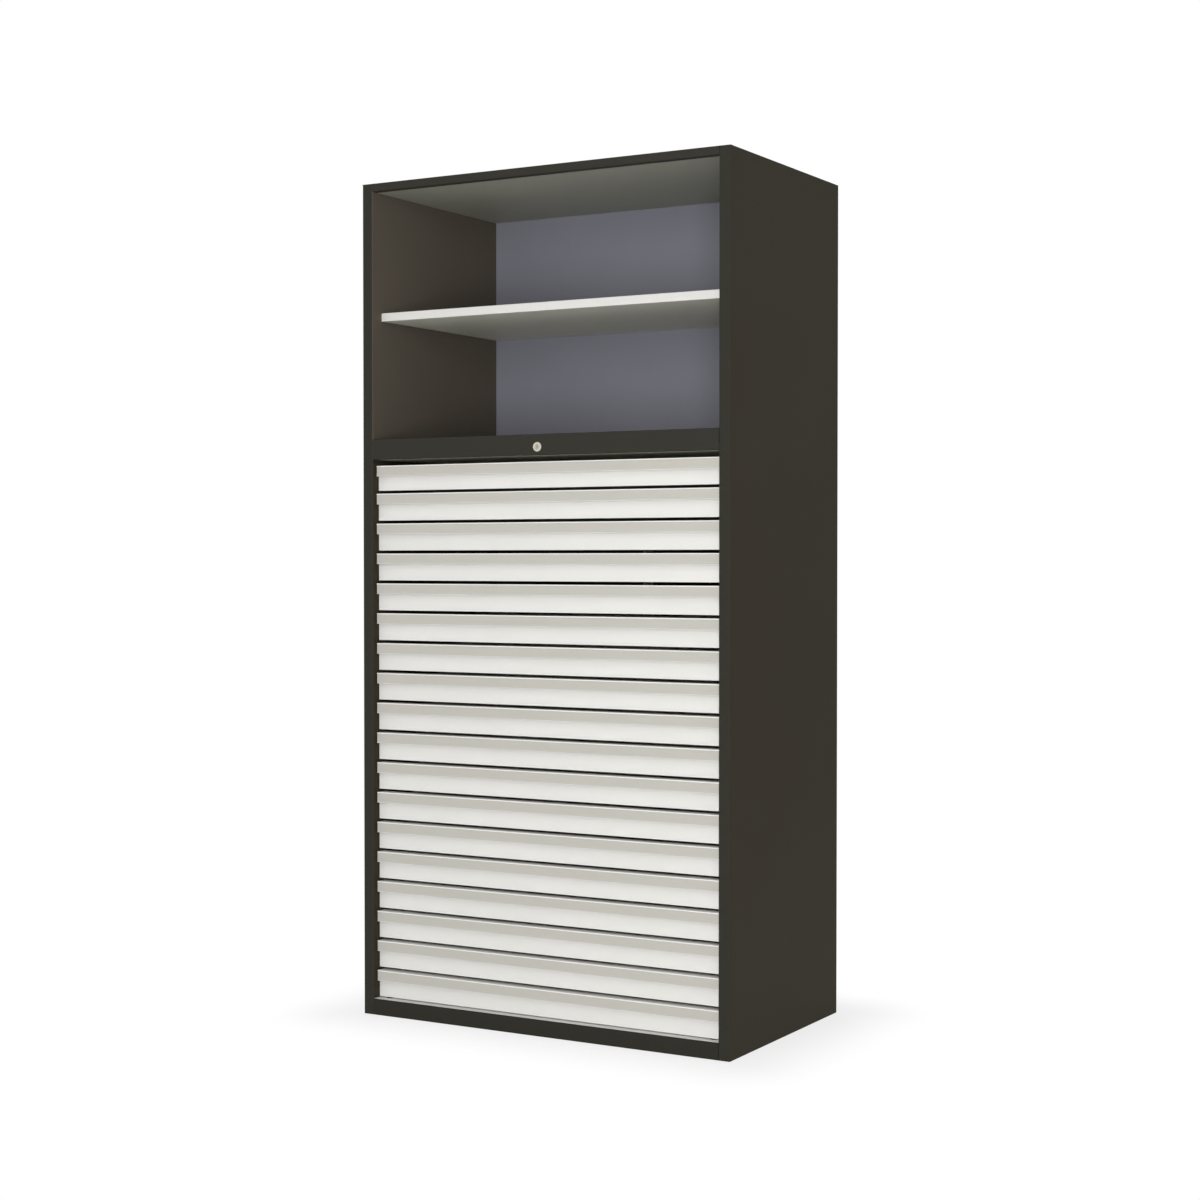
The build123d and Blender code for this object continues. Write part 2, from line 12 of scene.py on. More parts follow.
import bpy
import numpy as np
from mathutils import Euler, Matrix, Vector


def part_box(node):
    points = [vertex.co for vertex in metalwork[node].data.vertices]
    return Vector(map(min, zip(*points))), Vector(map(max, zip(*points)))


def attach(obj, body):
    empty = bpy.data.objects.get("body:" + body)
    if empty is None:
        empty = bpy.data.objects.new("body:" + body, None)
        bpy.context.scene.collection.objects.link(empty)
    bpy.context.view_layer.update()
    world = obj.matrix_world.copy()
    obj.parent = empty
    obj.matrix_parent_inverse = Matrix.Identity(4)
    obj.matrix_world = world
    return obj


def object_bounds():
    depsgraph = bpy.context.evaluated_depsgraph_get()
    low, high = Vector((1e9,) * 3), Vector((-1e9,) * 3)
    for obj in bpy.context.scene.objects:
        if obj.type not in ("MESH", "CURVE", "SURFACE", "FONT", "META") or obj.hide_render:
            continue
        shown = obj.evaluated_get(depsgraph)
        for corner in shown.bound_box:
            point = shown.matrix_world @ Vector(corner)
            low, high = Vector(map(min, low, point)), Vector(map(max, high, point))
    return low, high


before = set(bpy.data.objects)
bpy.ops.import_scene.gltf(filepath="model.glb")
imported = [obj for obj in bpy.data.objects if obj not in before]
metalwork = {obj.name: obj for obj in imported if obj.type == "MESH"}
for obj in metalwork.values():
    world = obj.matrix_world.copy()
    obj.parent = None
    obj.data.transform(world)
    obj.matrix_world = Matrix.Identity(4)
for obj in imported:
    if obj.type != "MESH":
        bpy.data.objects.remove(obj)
cad_low, cad_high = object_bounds()
drawer_names = sorted(name for name in metalwork if name.startswith("drawer_"))
print(f"{len(metalwork)} nodes, {len(drawer_names)} of them drawers")

# %% [markdown]
# ## Colours and nodes
#
# A paint card is read in display values from 0 to 255, but a shader counts light, so each value is brought
# to linear light first. A finish is a small tree of shader nodes. It could be wired by hand in the shader
# editor, but a helper that adds one node and fills its inputs keeps each finish to a few lines. An input
# gets a number where the value is the same all over, and a link where it comes from another node.


# %% Paint and nodes
def paint(red, green, blue):
    """Display colour to linear light: the straight foot of the curve, then its power of 2.4."""
    shown = np.array([red, green, blue]) / 255.0
    light = np.where(shown <= 0.04045, shown / 12.92, ((shown + 0.055) / 1.055) ** 2.4)
    return (*light.tolist(), 1.0)


def fill(tree, node, inputs):
    """Give each input its value, or a link where the value is another node's output."""
    for name, value in inputs.items():
        if isinstance(value, bpy.types.NodeSocket):
            tree.links.new(value, node.inputs[name])
        else:
            node.inputs[name].default_value = value


def put(tree, kind, inputs=None, **settings):
    """Add a node with these settings and fill its inputs."""
    node = tree.nodes.new(kind)
    for name, value in settings.items():
        setattr(node, name, value)
    fill(tree, node, inputs or {})
    return node


def new_finish(name):
    """A material with its plain shader, and the place of each point in the cabinet's own frame."""
    material = bpy.data.materials.new(name)
    material.use_nodes = True
    tree = material.node_tree
    place = put(tree, "ShaderNodeTexCoord").outputs["Object"]
    return material, tree, tree.nodes["Principled BSDF"], place


print(f"the middle of the display range is {paint(128, 128, 128)[0]:.2f} of full light")

# %% [markdown]
# ## Powder coat
#
# Almost all of the cabinet is folded sheet with a baked powder coat. Close up, such a coat has a fine
# pebbled skin, two or three millimetres from bump to bump. From further away the sheet shows slow changes
# of gloss and a very slight change of tone, because no coat is of one thickness. One function makes every
# coat: a fine noise for the skin, and a wide noise for gloss and tone.

# %% Layers of a powder coat
noise_span = (0.3, 0.7)
cloud_scale = 4.0
pebble_scale = 380.0
skin_strength = 0.12
skin_depth = 0.0004


def noise(tree, place, scale, detail):
    """Noise with about scale lumps to each unit of place, most of it inside noise_span."""
    inputs = {"Vector": place, "Scale": scale, "Detail": detail}
    return put(tree, "ShaderNodeTexNoise", inputs).outputs["Fac"]


def spread(tree, value, low, high):
    """Stretch a value from noise_span over the range from low to high, in a straight line."""
    span = {"From Min": noise_span[0], "From Max": noise_span[1], "To Min": low, "To Max": high}
    return put(tree, "ShaderNodeMapRange", {"Value": value, **span}).outputs["Result"]


def blend_colour(tree, factor, first, second):
    """First times one less factor, plus second times factor."""
    mix = put(tree, "ShaderNodeMix", {0: factor, 6: first, 7: second}, data_type="RGBA")
    return mix.outputs[2]


def share_of(colour, share):
    """The same colour with its light multiplied by share."""
    return (*(value * share for value in colour[:3]), 1.0)


def coat_layers(tree, place, colour, tone, gloss):
    """Colour, roughness and skin: a wide noise moves the first two, and a fine noise is the skin's height."""
    clouds = noise(tree, place, cloud_scale, detail=4.0)
    pebbles = noise(tree, place, pebble_scale, detail=2.0)
    darker, lighter = share_of(colour, 1 - tone), share_of(colour, 1 + tone)
    shade = blend_colour(tree, spread(tree, clouds, 0.0, 1.0), darker, lighter)
    bump = {"Height": pebbles, "Strength": skin_strength, "Distance": skin_depth}
    skin = put(tree, "ShaderNodeBump", bump).outputs["Normal"]
    return shade, spread(tree, clouds, *gloss), skin


def powder_coat(name, colour, tone=0.03, gloss=(0.42, 0.52), specular=0.3):
    """A coat of one colour over a whole node."""
    material, tree, shader, place = new_finish(name)
    shade, rough, skin = coat_layers(tree, place, colour, tone, gloss)
    fill(tree, shader, {"Base Color": shade, "Roughness": rough, "Normal": skin})
    fill(tree, shader, {"Specular IOR Level": specular})
    return material


print(f"skin of {1000 / pebble_scale:.1f} mm from bump to bump")

# %% [markdown]
# ## The plain coats
#
# The housing is warm graphite, the ceiling of the open compartment mid grey and its back lavender grey,
# and the shelf and the drawer bay have light greys. A dark coat shows its shine more than its colour, so
# the graphite ones are kept duller and more even than the pale ones.

# %% The plain coats
dark_tone = 0.02
pale_tone = 0.012
dark_gloss = (0.54, 0.58)
dark_shine = 0.1
graphite = powder_coat("graphite_coat", paint(50, 49, 43), dark_tone, dark_gloss, dark_shine)
plinth_graphite = powder_coat("plinth_graphite_coat", paint(44, 43, 37), dark_tone, dark_gloss, dark_shine)
ceiling_grey = powder_coat("ceiling_grey_coat", paint(154, 154, 142))
lavender = powder_coat("lavender_coat", paint(141, 141, 153), gloss=(0.36, 0.46))
shelf_light = powder_coat("shelf_light_coat", paint(220, 219, 215), pale_tone)
underside_light = powder_coat("underside_light_coat", paint(224, 223, 207), pale_tone)
bay_grey = powder_coat("bay_grey_coat", paint(216, 216, 213))
coats = (graphite, plinth_graphite, ceiling_grey, lavender, shelf_light, underside_light, bay_grey)
print("coats:", ", ".join(coat.name for coat in coats))

# %% [markdown]
# ## Side walls
#
# Each side wall is double. Outside, one sheet is the skin and turns the corner into the front stile, and
# inside, a lining closes the wall. It is all one graphite coat, and its other tones are painted light. The
# outer skin is a warmer, slightly lighter tone than the stile, painted warm light from the right. Beside the
# open compartment, above the rail, the wall is a much lighter tone, painted light that lifts the shade in
# the compartment. The faces could be picked one by one and given three materials. A mask from the place of
# a point does the same in one material, and the tone changes at the bends.

# %% Coat of the side walls by place
side_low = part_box("side_panel_right")[0]
rail_low, rail_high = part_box("lock_rail_deck")
# Less than the sheet's thickness, so that the mask changes within the bend.
bend_line = 0.0008
side_shine = 0.05


def reckon(tree, operation, first, second):
    """One step of arithmetic on two numbers or links. A comparison gives one where it holds, else nought."""
    return put(tree, "ShaderNodeMath", {0: first, 1: second}, operation=operation).outputs[0]


def axes_of(tree, place):
    """Distance from the middle plane, which is X without its sign, then Y and Z."""
    axes = put(tree, "ShaderNodeSeparateXYZ", {0: place}).outputs
    across = put(tree, "ShaderNodeMath", {0: axes["X"]}, operation="ABSOLUTE").outputs[0]
    return across, axes["Y"], axes["Z"]


def painted_light_side_coat(name, skin, stile, inner):
    """The skin's tone all over, inner beside the open compartment, and over both the stile's in front.

    The skin is a warmer, lighter copy of the stile's graphite, and inner a much lighter one: both are painted
    light.
    """
    material, tree, shader, place = new_finish(name)
    across, depth, height = axes_of(tree, place)
    in_front = reckon(tree, "LESS_THAN", depth, side_low.y + bend_line)
    inside = reckon(tree, "LESS_THAN", across, side_low.x + bend_line)
    above_rail = reckon(tree, "GREATER_THAN", height, rail_low.z)
    painted_light_inner_mask = reckon(tree, "MULTIPLY", inside, above_rail)
    shade, rough, bumps = coat_layers(tree, place, skin, dark_tone, dark_gloss)
    # Painted light: the inner walls above the rail get a much lighter tone than the graphite.
    shade = blend_colour(tree, painted_light_inner_mask, shade, inner)
    shade = blend_colour(tree, in_front, shade, stile)
    fill(tree, shader, {"Base Color": shade, "Roughness": rough, "Normal": bumps})
    fill(tree, shader, {"Specular IOR Level": side_shine})
    return material


# The stile's (51, 50, 44) is the graphite itself. The skin's warmer (57, 52, 42) is painted warm light from
# the right, and the inner (96, 89, 79) is painted light that lifts the shade beside the compartment.
side_graphite_painted_light = painted_light_side_coat("side_graphite_coat", paint(57, 52, 42), paint(51, 50, 44), paint(96, 89, 79))
print(f"inner walls change tone {rail_low.z:.3f} m above the floor")

# %% [markdown]
# ## Bare metal
#
# The slides, the lock's works and the shelf pegs are zinc plated. Zinc from a plating bath is bright, with
# fine streaks along the way the strip was drawn. Scratches could be painted on, but a noise that is
# stretched along the strip gives such streaks everywhere. The lock bar, which nobody sees, is left duller.

# %% Zinc plate
fine_streaks, long_streaks = 420.0, 9.0
along_depth = (fine_streaks, long_streaks, fine_streaks)
along_height = (fine_streaks, fine_streaks, long_streaks)
bright_gloss = (0.26, 0.42)
dull_gloss = (0.58, 0.72)


def drawn_noise(tree, place, scale, detail):
    """Noise over the place times scale on each axis, so it is long where the scale is low."""
    drawn = put(tree, "ShaderNodeMapping", {"Vector": place, "Scale": scale}).outputs["Vector"]
    return noise(tree, drawn, 1.0, detail)


def zinc_layers(tree, place, scale, gloss):
    """Colour and roughness of plated strip, both moved by one noise that is drawn out along it."""
    streaks = drawn_noise(tree, place, scale, detail=3.0)
    share = spread(tree, streaks, 0.0, 1.0)
    shade = blend_colour(tree, share, paint(168, 170, 172), paint(206, 208, 209))
    return shade, spread(tree, streaks, *gloss)


def zinc_plate(name, scale, gloss):
    """Zinc over a whole node."""
    material, tree, shader, place = new_finish(name)
    shade, rough = zinc_layers(tree, place, scale, gloss)
    fill(tree, shader, {"Base Color": shade, "Roughness": rough, "Metallic": 1.0})
    return material


slide_zinc = zinc_plate("slide_zinc", along_depth, bright_gloss)
rivet_zinc = zinc_plate("rivet_zinc", along_height, bright_gloss)
bar_zinc = zinc_plate("bar_zinc", along_height, dull_gloss)
print(f"streaks about {fine_streaks / long_streaks:.0f} times as long as wide")

# %% [markdown]
# ## Lock face and guides
#
# The lock's face is turned on a lathe, so its fine marks are rings about the lock's axis. A wave texture
# draws rings about the origin, so a mapping first brings the lock's axis there. The guides of the lock bar
# are natural nylon, which is as even as a powder coat and a little duller.

# %% Turned nickel and nylon
lock_low, lock_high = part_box("lock_housing")
lock_x = (lock_low.x + lock_high.x) / 2
lock_z = (lock_low.z + lock_high.z) / 2
ring_scale = 620.0
ring_wobble = 0.4
ring_strength, ring_depth = 0.08, 0.0002
ring_shade = 0.9
ring_gloss = 0.04


def turned_nickel(name, colour, rough):
    """Satin nickel with lathe marks: a wave of rings about the lock's axis moves tone, gloss and height."""
    material, tree, shader, place = new_finish(name)
    shift = {"Vector": place, "Location": (-lock_x, 0.0, -lock_z)}
    centred = put(tree, "ShaderNodeMapping", shift).outputs["Vector"]
    wave = {"Vector": centred, "Scale": ring_scale, "Distortion": ring_wobble, "Detail": 1.0}
    rings = put(tree, "ShaderNodeTexWave", wave, wave_type="RINGS", rings_direction="Y").outputs["Fac"]
    shade = blend_colour(tree, rings, share_of(colour, ring_shade), colour)
    gloss = spread(tree, rings, rough - ring_gloss, rough + ring_gloss)
    bump = {"Height": rings, "Strength": ring_strength, "Distance": ring_depth}
    marks = put(tree, "ShaderNodeBump", bump).outputs["Normal"]
    fill(tree, shader, {"Base Color": shade, "Roughness": gloss, "Normal": marks, "Metallic": 1.0})
    return material


lock_nickel = turned_nickel("lock_nickel", paint(214, 212, 198), rough=0.38)
plug_nickel = turned_nickel("plug_nickel", paint(196, 193, 178), rough=0.34)
guide_nylon = powder_coat("guide_nylon", paint(222, 219, 208), tone=0.01, gloss=(0.5, 0.6))
print(f"lock axis at X {lock_x:.4f}, Z {lock_z:.4f} m")

# %% [markdown]
# ## Drawer finish
#
# A drawer comes as one node, but its maker coats the tray and the front, and leaves the slide members at
# its sides and the catch on its rear bare. So one material holds both finishes, and a mask built from the
# place of a point chooses between them. The slides lie outside the tray, lower than its rim. The height
# above a drawer's own lower edge is the height in the cabinet, counted again from nought at each drawer.

# %% The coat with bare slides
lowest_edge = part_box(drawer_names[-1])[0].z
drawer_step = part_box(drawer_names[-2])[0].z - lowest_edge
# Where the tray's side, the end of the front, the rear wall and the slide's upper edge are, in metres.
tray_side = 0.4672
front_end = -0.257
rear_wall = 0.2443
slide_head = 0.05
drawer_gloss = (0.4, 0.5)
drawer_shine = 0.35


def drawer_coat(name, colour):
    """Powder coat, with zinc where a point is beside the tray and under its rim, or behind the tray."""
    material, tree, shader, place = new_finish(name)
    across, depth, height = axes_of(tree, place)
    rise = reckon(tree, "MODULO", reckon(tree, "SUBTRACT", height, lowest_edge), drawer_step)
    beside = reckon(tree, "GREATER_THAN", across, tray_side)
    behind_front = reckon(tree, "GREATER_THAN", depth, front_end)
    under_rim = reckon(tree, "LESS_THAN", rise, slide_head)
    slide = reckon(tree, "MULTIPLY", reckon(tree, "MULTIPLY", beside, behind_front), under_rim)
    catch = reckon(tree, "GREATER_THAN", depth, rear_wall)
    bare = reckon(tree, "MAXIMUM", slide, catch)
    coat_shade, coat_rough, skin = coat_layers(tree, place, colour, pale_tone, drawer_gloss)
    zinc_shade, zinc_rough = zinc_layers(tree, place, along_depth, bright_gloss)
    shade = blend_colour(tree, bare, coat_shade, zinc_shade)
    rough = put(tree, "ShaderNodeMix", {0: bare, 2: coat_rough, 3: zinc_rough}, data_type="FLOAT").outputs[0]
    fill(tree, shader, {"Base Color": shade, "Roughness": rough, "Metallic": bare, "Normal": skin})
    fill(tree, shader, {"Specular IOR Level": drawer_shine})
    return material


drawer_light = drawer_coat("drawer_light_coat", paint(229, 228, 224))
print(f"drawers repeat every {drawer_step * 1000:.1f} mm")

# %% [markdown]
# ## Coat the metalwork
#
# Each node keeps its shape and only gets its finish. A table from node to material is easy to read and to
# change. A node takes the first row that its name starts with, so a whole row of drawers needs one line,
# and a longer name stands above a shorter one with the same start.

# %% Which node gets which finish
finish_of = {
    "side_": side_graphite_painted_light,
    "top_panel": graphite,
    "ceiling_lining": ceiling_grey,
    "plinth_frame": plinth_graphite,
    "bay_floor": bay_grey,
    "lock_rail_deck": graphite,
    "bay_ceiling": underside_light,
    "back_panel": graphite,
    "back_lining": lavender,
    "shelf_underside": underside_light,
    "shelf_pegs": slide_zinc,
    "shelf": shelf_light,
    "slide_": slide_zinc,
    "lock_housing": lock_nickel,
    "lock_plug": plug_nickel,
    "lock_nut": slide_zinc,
    "lock_spindle": slide_zinc,
    "lock_crank": slide_zinc,
    "lock_bar_guides": guide_nylon,
    "lock_bar": bar_zinc,
    "drawer_": drawer_light,
}
for node_name, node_object in metalwork.items():
    start = next(start for start in finish_of if node_name.startswith(start))
    node_object.data.materials.clear()
    node_object.data.materials.append(finish_of[start])
print(f"{len(metalwork)} nodes coated from {len(finish_of)} rows")

# %% [markdown]
# ## Label strips
#
# Each drawer's pull carries a strip for labels over its whole width. On the real one it is a thin drawn
# holder with a lip along its upper and lower edge, and a strip of card slides in behind the lips. Both have
# the same section all along. So each section is worked out once, as a ring of points in depth and height,
# counted from the lower edge of the pull's face. The holder's corners are rounded, as a drawn strip's are,
# and the card is crowned a little towards the front, because it is pressed in between the lips.


# %% Sections of holder and card
def rounded_ring(corners, radius, steps):
    """Ring of points along these corners, each rounded by a quadratic curve.

    The curve goes from radius before the corner to radius after it, tangent to both sides there.
    """
    corners = np.asarray(corners, float)
    before = np.roll(corners, 1, axis=0) - corners
    after = np.roll(corners, -1, axis=0) - corners
    before /= np.linalg.norm(before, axis=1, keepdims=True)
    after /= np.linalg.norm(after, axis=1, keepdims=True)
    start = (corners + radius * before)[:, None, :]
    end = (corners + radius * after)[:, None, :]
    share = np.linspace(0.0, 1.0, steps)[None, :, None]
    curve = (1 - share) ** 2 * start + 2 * share * (1 - share) * corners[:, None, :] + share**2 * end
    return curve.reshape(-1, 2)


strip_height = 0.0264
# With the holder's whiter coat, the upper lip's front is a painted highlight along the top of each label.
upper_lip = 0.0024
lower_lip = 0.001
wall = 0.0004
lip_front = -0.0012
lip_back = lip_front + wall
strip_top = strip_height - wall
corner_radius = 0.00015
corner_points = 3
holder_corners = [
    (0.0, 0.0),
    (0.0, strip_height),
    (lip_front, strip_height),
    (lip_front, strip_height - upper_lip),
    (lip_back, strip_height - upper_lip),
    (lip_back, strip_top),
    (-wall, strip_top),
    (-wall, wall),
    (lip_back, wall),
    (lip_back, lower_lip),
    (lip_front, lower_lip),
    (lip_front, 0.0),
]
holder_section = rounded_ring(holder_corners, corner_radius, corner_points)

card_rows = 7
card_thickness = 0.0002
card_crown = 0.0002
card_rise = np.linspace(wall, strip_top, card_rows)
card_swell = card_crown * (1 - np.linspace(-1, 1, card_rows) ** 2)
card_front = np.stack([-wall - card_thickness - card_swell, card_rise], axis=1)
card_back = np.stack([np.full(card_rows, -wall), card_rise], axis=1)
card_section = np.concatenate([card_back, card_front[::-1]])
print(f"{len(holder_section)} points in the holder's section, {len(card_section)} in the card's")

# %% [markdown]
# ## Finishes of holder and card
#
# The holder has a coat like the drawers', a shade whiter. The whiter coat is a painted highlight: the pale
# front of its upper lip stands for the lit top face of the pull, which lies in shade under the drawer above.
# The card is pale and warm, with short fibres along the strip, and a clear film covers it. A stretched noise
# stands for the fibres, and the shader's own clear coat for the film.

# %% Card and holder finish
fibre_scale = (260.0, 900.0, 900.0)
fibre_shade = 0.97
fibre_gloss = (0.6, 0.75)


def label_card(name, colour):
    """Card behind a film: a noise drawn out along X moves tone and roughness, under a thin clear coat."""
    material, tree, shader, place = new_finish(name)
    fibres = drawn_noise(tree, place, fibre_scale, detail=4.0)
    shade = blend_colour(tree, spread(tree, fibres, 0.0, 1.0), share_of(colour, fibre_shade), colour)
    fill(tree, shader, {"Base Color": shade, "Roughness": spread(tree, fibres, *fibre_gloss)})
    fill(tree, shader, {"Specular IOR Level": 0.25, "Coat Weight": 0.25, "Coat Roughness": 0.3})
    return material


card_finish = label_card("label_card", paint(193, 190, 182))
# Painted highlight: a shade whiter than the drawers' paint, so the upper lip draws a pale line along each
# label's top.
holder_painted_highlight = powder_coat("holder_painted_highlight", paint(240, 239, 236), tone=0.01)
print(f"finishes {card_finish.name} and {holder_painted_highlight.name}")

# %% [markdown]
# ## From section to piece
#
# A curve with a bevel could sweep a section too, but an array is quicker and exact: the section is repeated
# at each station along the width, neighbouring points make the faces, and flat caps close the ends. Each
# piece rides on its drawer, so it comes along when the drawer is pulled.


# %% One holder and one card on each pull
def carried_profile(ring, stations):
    """Points and faces of a ring in (depth, height) carried along these stations on X, with flat caps."""
    count = len(ring)
    grid = np.empty((len(stations), count, 3))
    grid[:, :, 0] = np.asarray(stations)[:, None]
    grid[:, :, 1:] = ring[None, :, :]
    row = np.arange(len(stations) - 1)[:, None] * count
    here = np.arange(count)[None, :]
    there = (here + 1) % count
    quads = np.stack([row + here, row + there, row + count + there, row + count + here], axis=-1)
    caps = [list(range(count))[::-1], list(range((len(stations) - 1) * count, len(stations) * count))]
    return grid.reshape(-1, 3), quads.reshape(-1, 4).tolist() + caps


def new_piece(name, points, faces, material, body):
    """Put points and faces into a mesh at the origin, give it its finish and let it ride on its body."""
    mesh = bpy.data.meshes.new(name)
    mesh.from_pydata(points.tolist(), [], faces)
    mesh.materials.append(material)
    piece = bpy.data.objects.new(name, mesh)
    bpy.context.scene.collection.objects.link(piece)
    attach(piece, body)


end_gap = 0.001
station_count = 9
for drawer_name in drawer_names:
    low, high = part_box(drawer_name)
    seat = np.array([low.y, high.z - strip_height])
    stations = np.linspace(low.x + end_gap, high.x - end_gap, station_count)
    points, faces = carried_profile(holder_section + seat, stations)
    new_piece(f"{drawer_name}_label_holder", points, faces, holder_painted_highlight, drawer_name)
    points, faces = carried_profile(card_section + seat, stations)
    new_piece(f"{drawer_name}_label_card", points, faces, card_finish, drawer_name)
print(f"{len(drawer_names)} label strips, {strip_height * 1000:.1f} mm high")

# %% [markdown]
# ## Small fasteners
#
# Rivets hold the back panel and screws hold the slides. Both have round heads, domed, with a dimple or a
# cross in them. A sphere could be cut and dented for that, but a head is also just a height over a disc,
# and a height is a short formula. So both kinds start from one polar grid on a disc of radius one.


# %% A polar grid for the heads
def disc_points(ring_radii, spokes):
    """Polar grid on the unit disc: the centre, then ring after ring; the radius and angle of each point."""
    turn = np.linspace(0.0, 2 * np.pi, spokes, endpoint=False)
    radius = np.concatenate([[0.0], np.repeat(ring_radii, spokes)])
    angle = np.concatenate([[0.0], np.tile(turn, len(ring_radii))])
    return radius, angle


def disc_faces(ring_count, spokes):
    """Faces of the polar grid: triangles at the centre, bands of quads, and the flat base that closes it."""
    here = np.arange(spokes)
    there = (here + 1) % spokes
    centre = np.stack([np.zeros(spokes, int), 1 + here, 1 + there], axis=-1)
    row = 1 + np.arange(ring_count - 1)[:, None] * spokes
    bands = np.stack([row + here, row + spokes + here, row + spokes + there, row + there], axis=-1)
    base = 1 + (ring_count - 1) * spokes + here[::-1]
    return centre.tolist() + bands.reshape(-1, 4).tolist() + [base.tolist()]


ring_radii = np.array([0.22, 0.42, 0.62, 0.85, 1.0])
spokes = 16
radius, angle = disc_points(ring_radii, spokes)
head_faces = disc_faces(len(ring_radii), spokes)
print(f"{len(head_faces)} faces on each head")

# %% [markdown]
# ## Rivets
#
# The back panel is riveted to the side panels, to the plinth and to the middle deck. The head of a blind
# rivet is a shallow dome with the dimple of its broken mandrel: a quarter circle's height, less a small
# hollow in the middle. One head is worked out as an array, and adding it to a column of places gives all
# heads at once.


# %% Rivets on the back
def heads(places, flat_size, height, outward):
    """All heads at once: the disc times its size, raised by height along outward, added to each place."""
    outward = np.asarray(outward, float)
    upward = np.array([0.0, 0.0, 1.0])
    sideways = np.cross(upward, outward)
    disc = (radius * np.cos(angle))[:, None] * sideways + (radius * np.sin(angle))[:, None] * upward
    shape = disc * flat_size + height[:, None] * outward
    points = np.asarray(places)[:, None, :] + shape[None, :, :]
    first_point = np.arange(len(places)) * len(shape)
    faces = [[corner + first for corner in face] for first in first_point.tolist() for face in head_faces]
    return points.reshape(-1, 3), faces


def lattice(xs, ys, zs):
    """Every place with an X, a Y and a Z out of these lists."""
    return np.stack(np.meshgrid(xs, ys, zs, indexing="ij"), axis=-1).reshape(-1, 3)


rivet_radius = 0.0035
rivet_height = 0.0011
dimple_depth = 0.0006
dimple_radius = 0.32
rivet_dome = rivet_height * np.sqrt(1 - radius**2)
mandrel_dimple = dimple_depth * np.exp(-((radius / dimple_radius) ** 4)) * (radius < 1)

back_low, back_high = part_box("back_panel")
plinth_low, plinth_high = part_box("plinth_frame")
flange_middle = 0.0105
edge_margin, edge_rivets = 0.05, 11
cross_margin, cross_rivets = 0.17, 5
edge_x = np.array([back_low.x + flange_middle, back_high.x - flange_middle])
edge_z = np.linspace(back_low.z + edge_margin, back_high.z - edge_margin, edge_rivets)
cross_x = np.linspace(back_low.x + cross_margin, back_high.x - cross_margin, cross_rivets)
cross_z = np.array([(plinth_low.z + plinth_high.z) / 2, rail_high.z - flange_middle])
rear = [back_high.y]
rivet_places = np.concatenate([lattice(edge_x, rear, edge_z), lattice(cross_x, rear, cross_z)])
points, faces = heads(rivet_places, rivet_radius, rivet_dome - mandrel_dimple, (0, 1, 0))
new_piece("back_rivets", points, faces, rivet_zinc, "cabinet")
print(f"{len(rivet_places)} rivets on the back")

# %% [markdown]
# ## Screws
#
# Each slide member in the cabinet is held by four screws. A screw's head is flatter than a rivet's and has a
# cross: wherever a point is near one of the two arms, and not too near the rim, the head is lower.

# %% Screws in the slides
screw_radius = 0.004
screw_height = 0.0013
screw_round = 0.92
recess_depth = 0.0008
recess_arm, recess_reach = 0.12, 0.7
screw_dome = screw_height * np.sqrt(np.clip(1 - (screw_round * radius) ** 4, 0, 1)) * (radius < 1)
from_arm = np.minimum(np.abs(np.sin(angle)), np.abs(np.cos(angle))) * radius
cross_recess = recess_depth * ((from_arm < recess_arm) & (radius < recess_reach))

web_thickness = 0.0015
web_middle = 0.018
screw_inset, screws_along = 0.04, 4
for side, runner in ((-1, "slide_runners_left"), (1, "slide_runners_right")):
    low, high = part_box(runner)
    web = (low.x if side < 0 else high.x) - side * web_thickness
    screw_y = np.linspace(low.y + screw_inset, high.y - screw_inset, screws_along)
    screw_z = low.z + web_middle + drawer_step * np.arange(len(drawer_names))
    screw_places = lattice([web], screw_y, screw_z)
    points, faces = heads(screw_places, screw_radius, screw_dome - cross_recess, (-side, 0, 0))
    new_piece(f"{runner}_screws", points, faces, slide_zinc, "cabinet")
print(f"{len(screw_places)} screws in the slides of each side")

# %% [markdown]
# ## Floor
#
# The floor is a wide pale sheet of paper. To the camera and to reflections it is mostly white by itself and
# only partly lit near the cabinet, so the shadow round the base stays soft. Under the cabinet, and for all
# other rays, it is plain pale paper, which is dark where no light comes and throws light back up where it
# does.


# %% Paper floor
def rolled_floor(span, level, cells):
    """Square sheet at this level: a grid of points over span metres each way."""
    line = np.linspace(-span, span, cells + 1)
    across, along = np.meshgrid(line, line, indexing="ij")
    points = np.stack([across, along, np.full_like(across, level)], axis=-1).reshape(-1, 3)
    corner = np.arange(cells)[:, None] * (cells + 1) + np.arange(cells)[None, :]
    faces = np.stack([corner, corner + cells + 1, corner + cells + 2, corner + 1], axis=-1).reshape(-1, 4)
    return points, faces.tolist()


def seen_directly(tree):
    """One where a ray comes from the camera, a reflection or a clear piece, and nought elsewhere."""
    path = put(tree, "ShaderNodeLightPath").outputs
    shiny = reckon(tree, "MAXIMUM", path["Is Glossy Ray"], path["Is Transmission Ray"])
    return reckon(tree, "MAXIMUM", path["Is Camera Ray"], shiny)


def past_base(tree, half_size):
    """Distance from the base: the length of the place without its signs less half_size, not under nought."""
    place = put(tree, "ShaderNodeTexCoord").outputs["Object"]
    beside = put(tree, "ShaderNodeVectorMath", {0: place}, operation="ABSOLUTE").outputs[0]
    past = put(tree, "ShaderNodeVectorMath", {0: beside, 1: half_size}, operation="SUBTRACT").outputs[0]
    nought = (0.0, 0.0, 0.0)
    outside = put(tree, "ShaderNodeVectorMath", {0: past, 1: nought}, operation="MAXIMUM").outputs[0]
    return put(tree, "ShaderNodeVectorMath", {0: outside}, operation="LENGTH").outputs["Value"]


